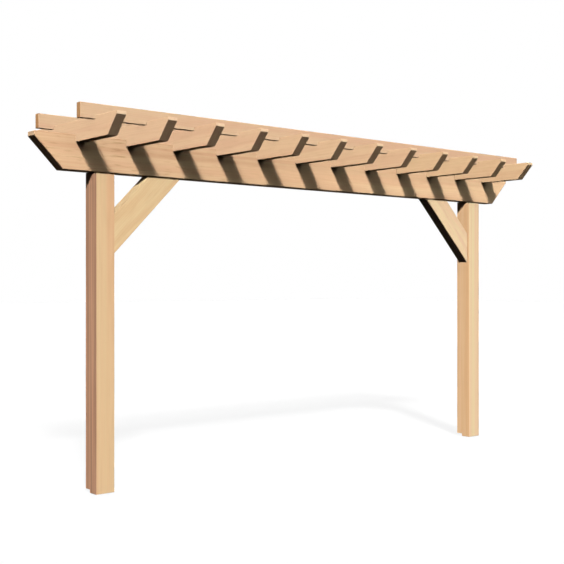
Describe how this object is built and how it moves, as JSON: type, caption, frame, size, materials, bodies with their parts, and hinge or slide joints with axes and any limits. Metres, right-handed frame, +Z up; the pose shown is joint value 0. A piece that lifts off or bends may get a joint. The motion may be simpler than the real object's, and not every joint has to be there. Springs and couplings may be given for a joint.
{
  "type": "wooden pergola",
  "caption": "Open timber pergola: a deep beam on square posts with knee braces carries notched rafters with slanted tails, tied by purlins laid along their tops.",
  "frame": {"origin": "middle of the left post, on the flat face of its foot at ground level", "axes": "+X along the beam from the left post to the right post, +Y to the back, +Z up"},
  "size_m": [5.17, 1.2, 2.72],
  "materials": {
    "posts": "sawn softwood, oiled pale tan, matt",
    "beam": "sawn softwood, oiled pale tan, matt",
    "braces": "sawn softwood, oiled pale tan, matt",
    "rafters": "sawn softwood, oiled pale tan, matt",
    "purlins": "sawn softwood, oiled pale tan, matt"
  },
  "bodies": {
    "root": {"left_post": "posts", "right_post": "posts", "main_beam": "beam", "left_brace": "braces", "right_brace": "braces", "rafter_01": "rafters", "rafter_02": "rafters", "rafter_03": "rafters", "rafter_04": "rafters", "rafter_05": "rafters", "rafter_06": "rafters", "rafter_07": "rafters", "rafter_08": "rafters", "rafter_09": "rafters", "rafter_10": "rafters", "rafter_11": "rafters", "rafter_12": "rafters", "front_purlin": "purlins", "back_purlin": "purlins"}
  },
  "joints": []
}
